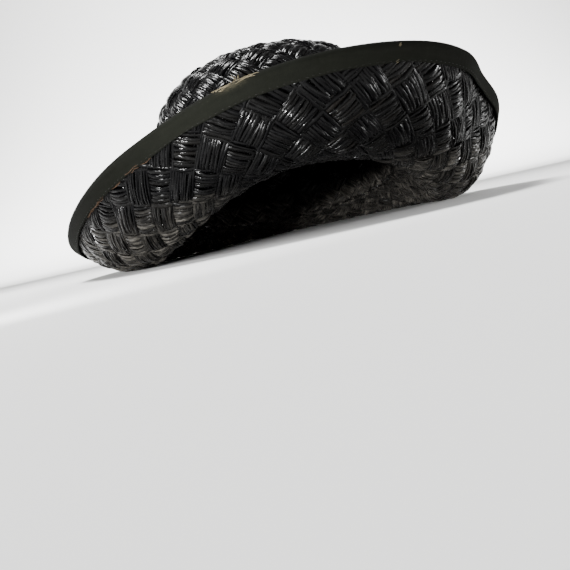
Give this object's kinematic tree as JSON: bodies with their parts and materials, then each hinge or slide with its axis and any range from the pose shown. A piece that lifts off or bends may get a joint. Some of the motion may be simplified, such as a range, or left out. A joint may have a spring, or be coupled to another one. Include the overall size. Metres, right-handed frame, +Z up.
{
  "type": "straw hat",
  "caption": "Black woven straw hat with a low rounded crown and a wide brim that turns up high at the front, its edge bound with charcoal ribbon.",
  "frame": {"origin": "middle of the hat's outline seen from above, on the surface that the hat rests on", "axes": "+Z up, front of the hat towards -Y, +X towards the wearer's left, which is the right of the picture"},
  "size_m": [0.3401, 0.3481, 0.1303],
  "materials": {
    "straw": "glossy lacquered straw",
    "ribbon": "matte woven ribbon"
  },
  "bodies": {
    "root": {"crown": "straw", "brim": "straw", "edge_binding": "ribbon"}
  },
  "joints": []
}
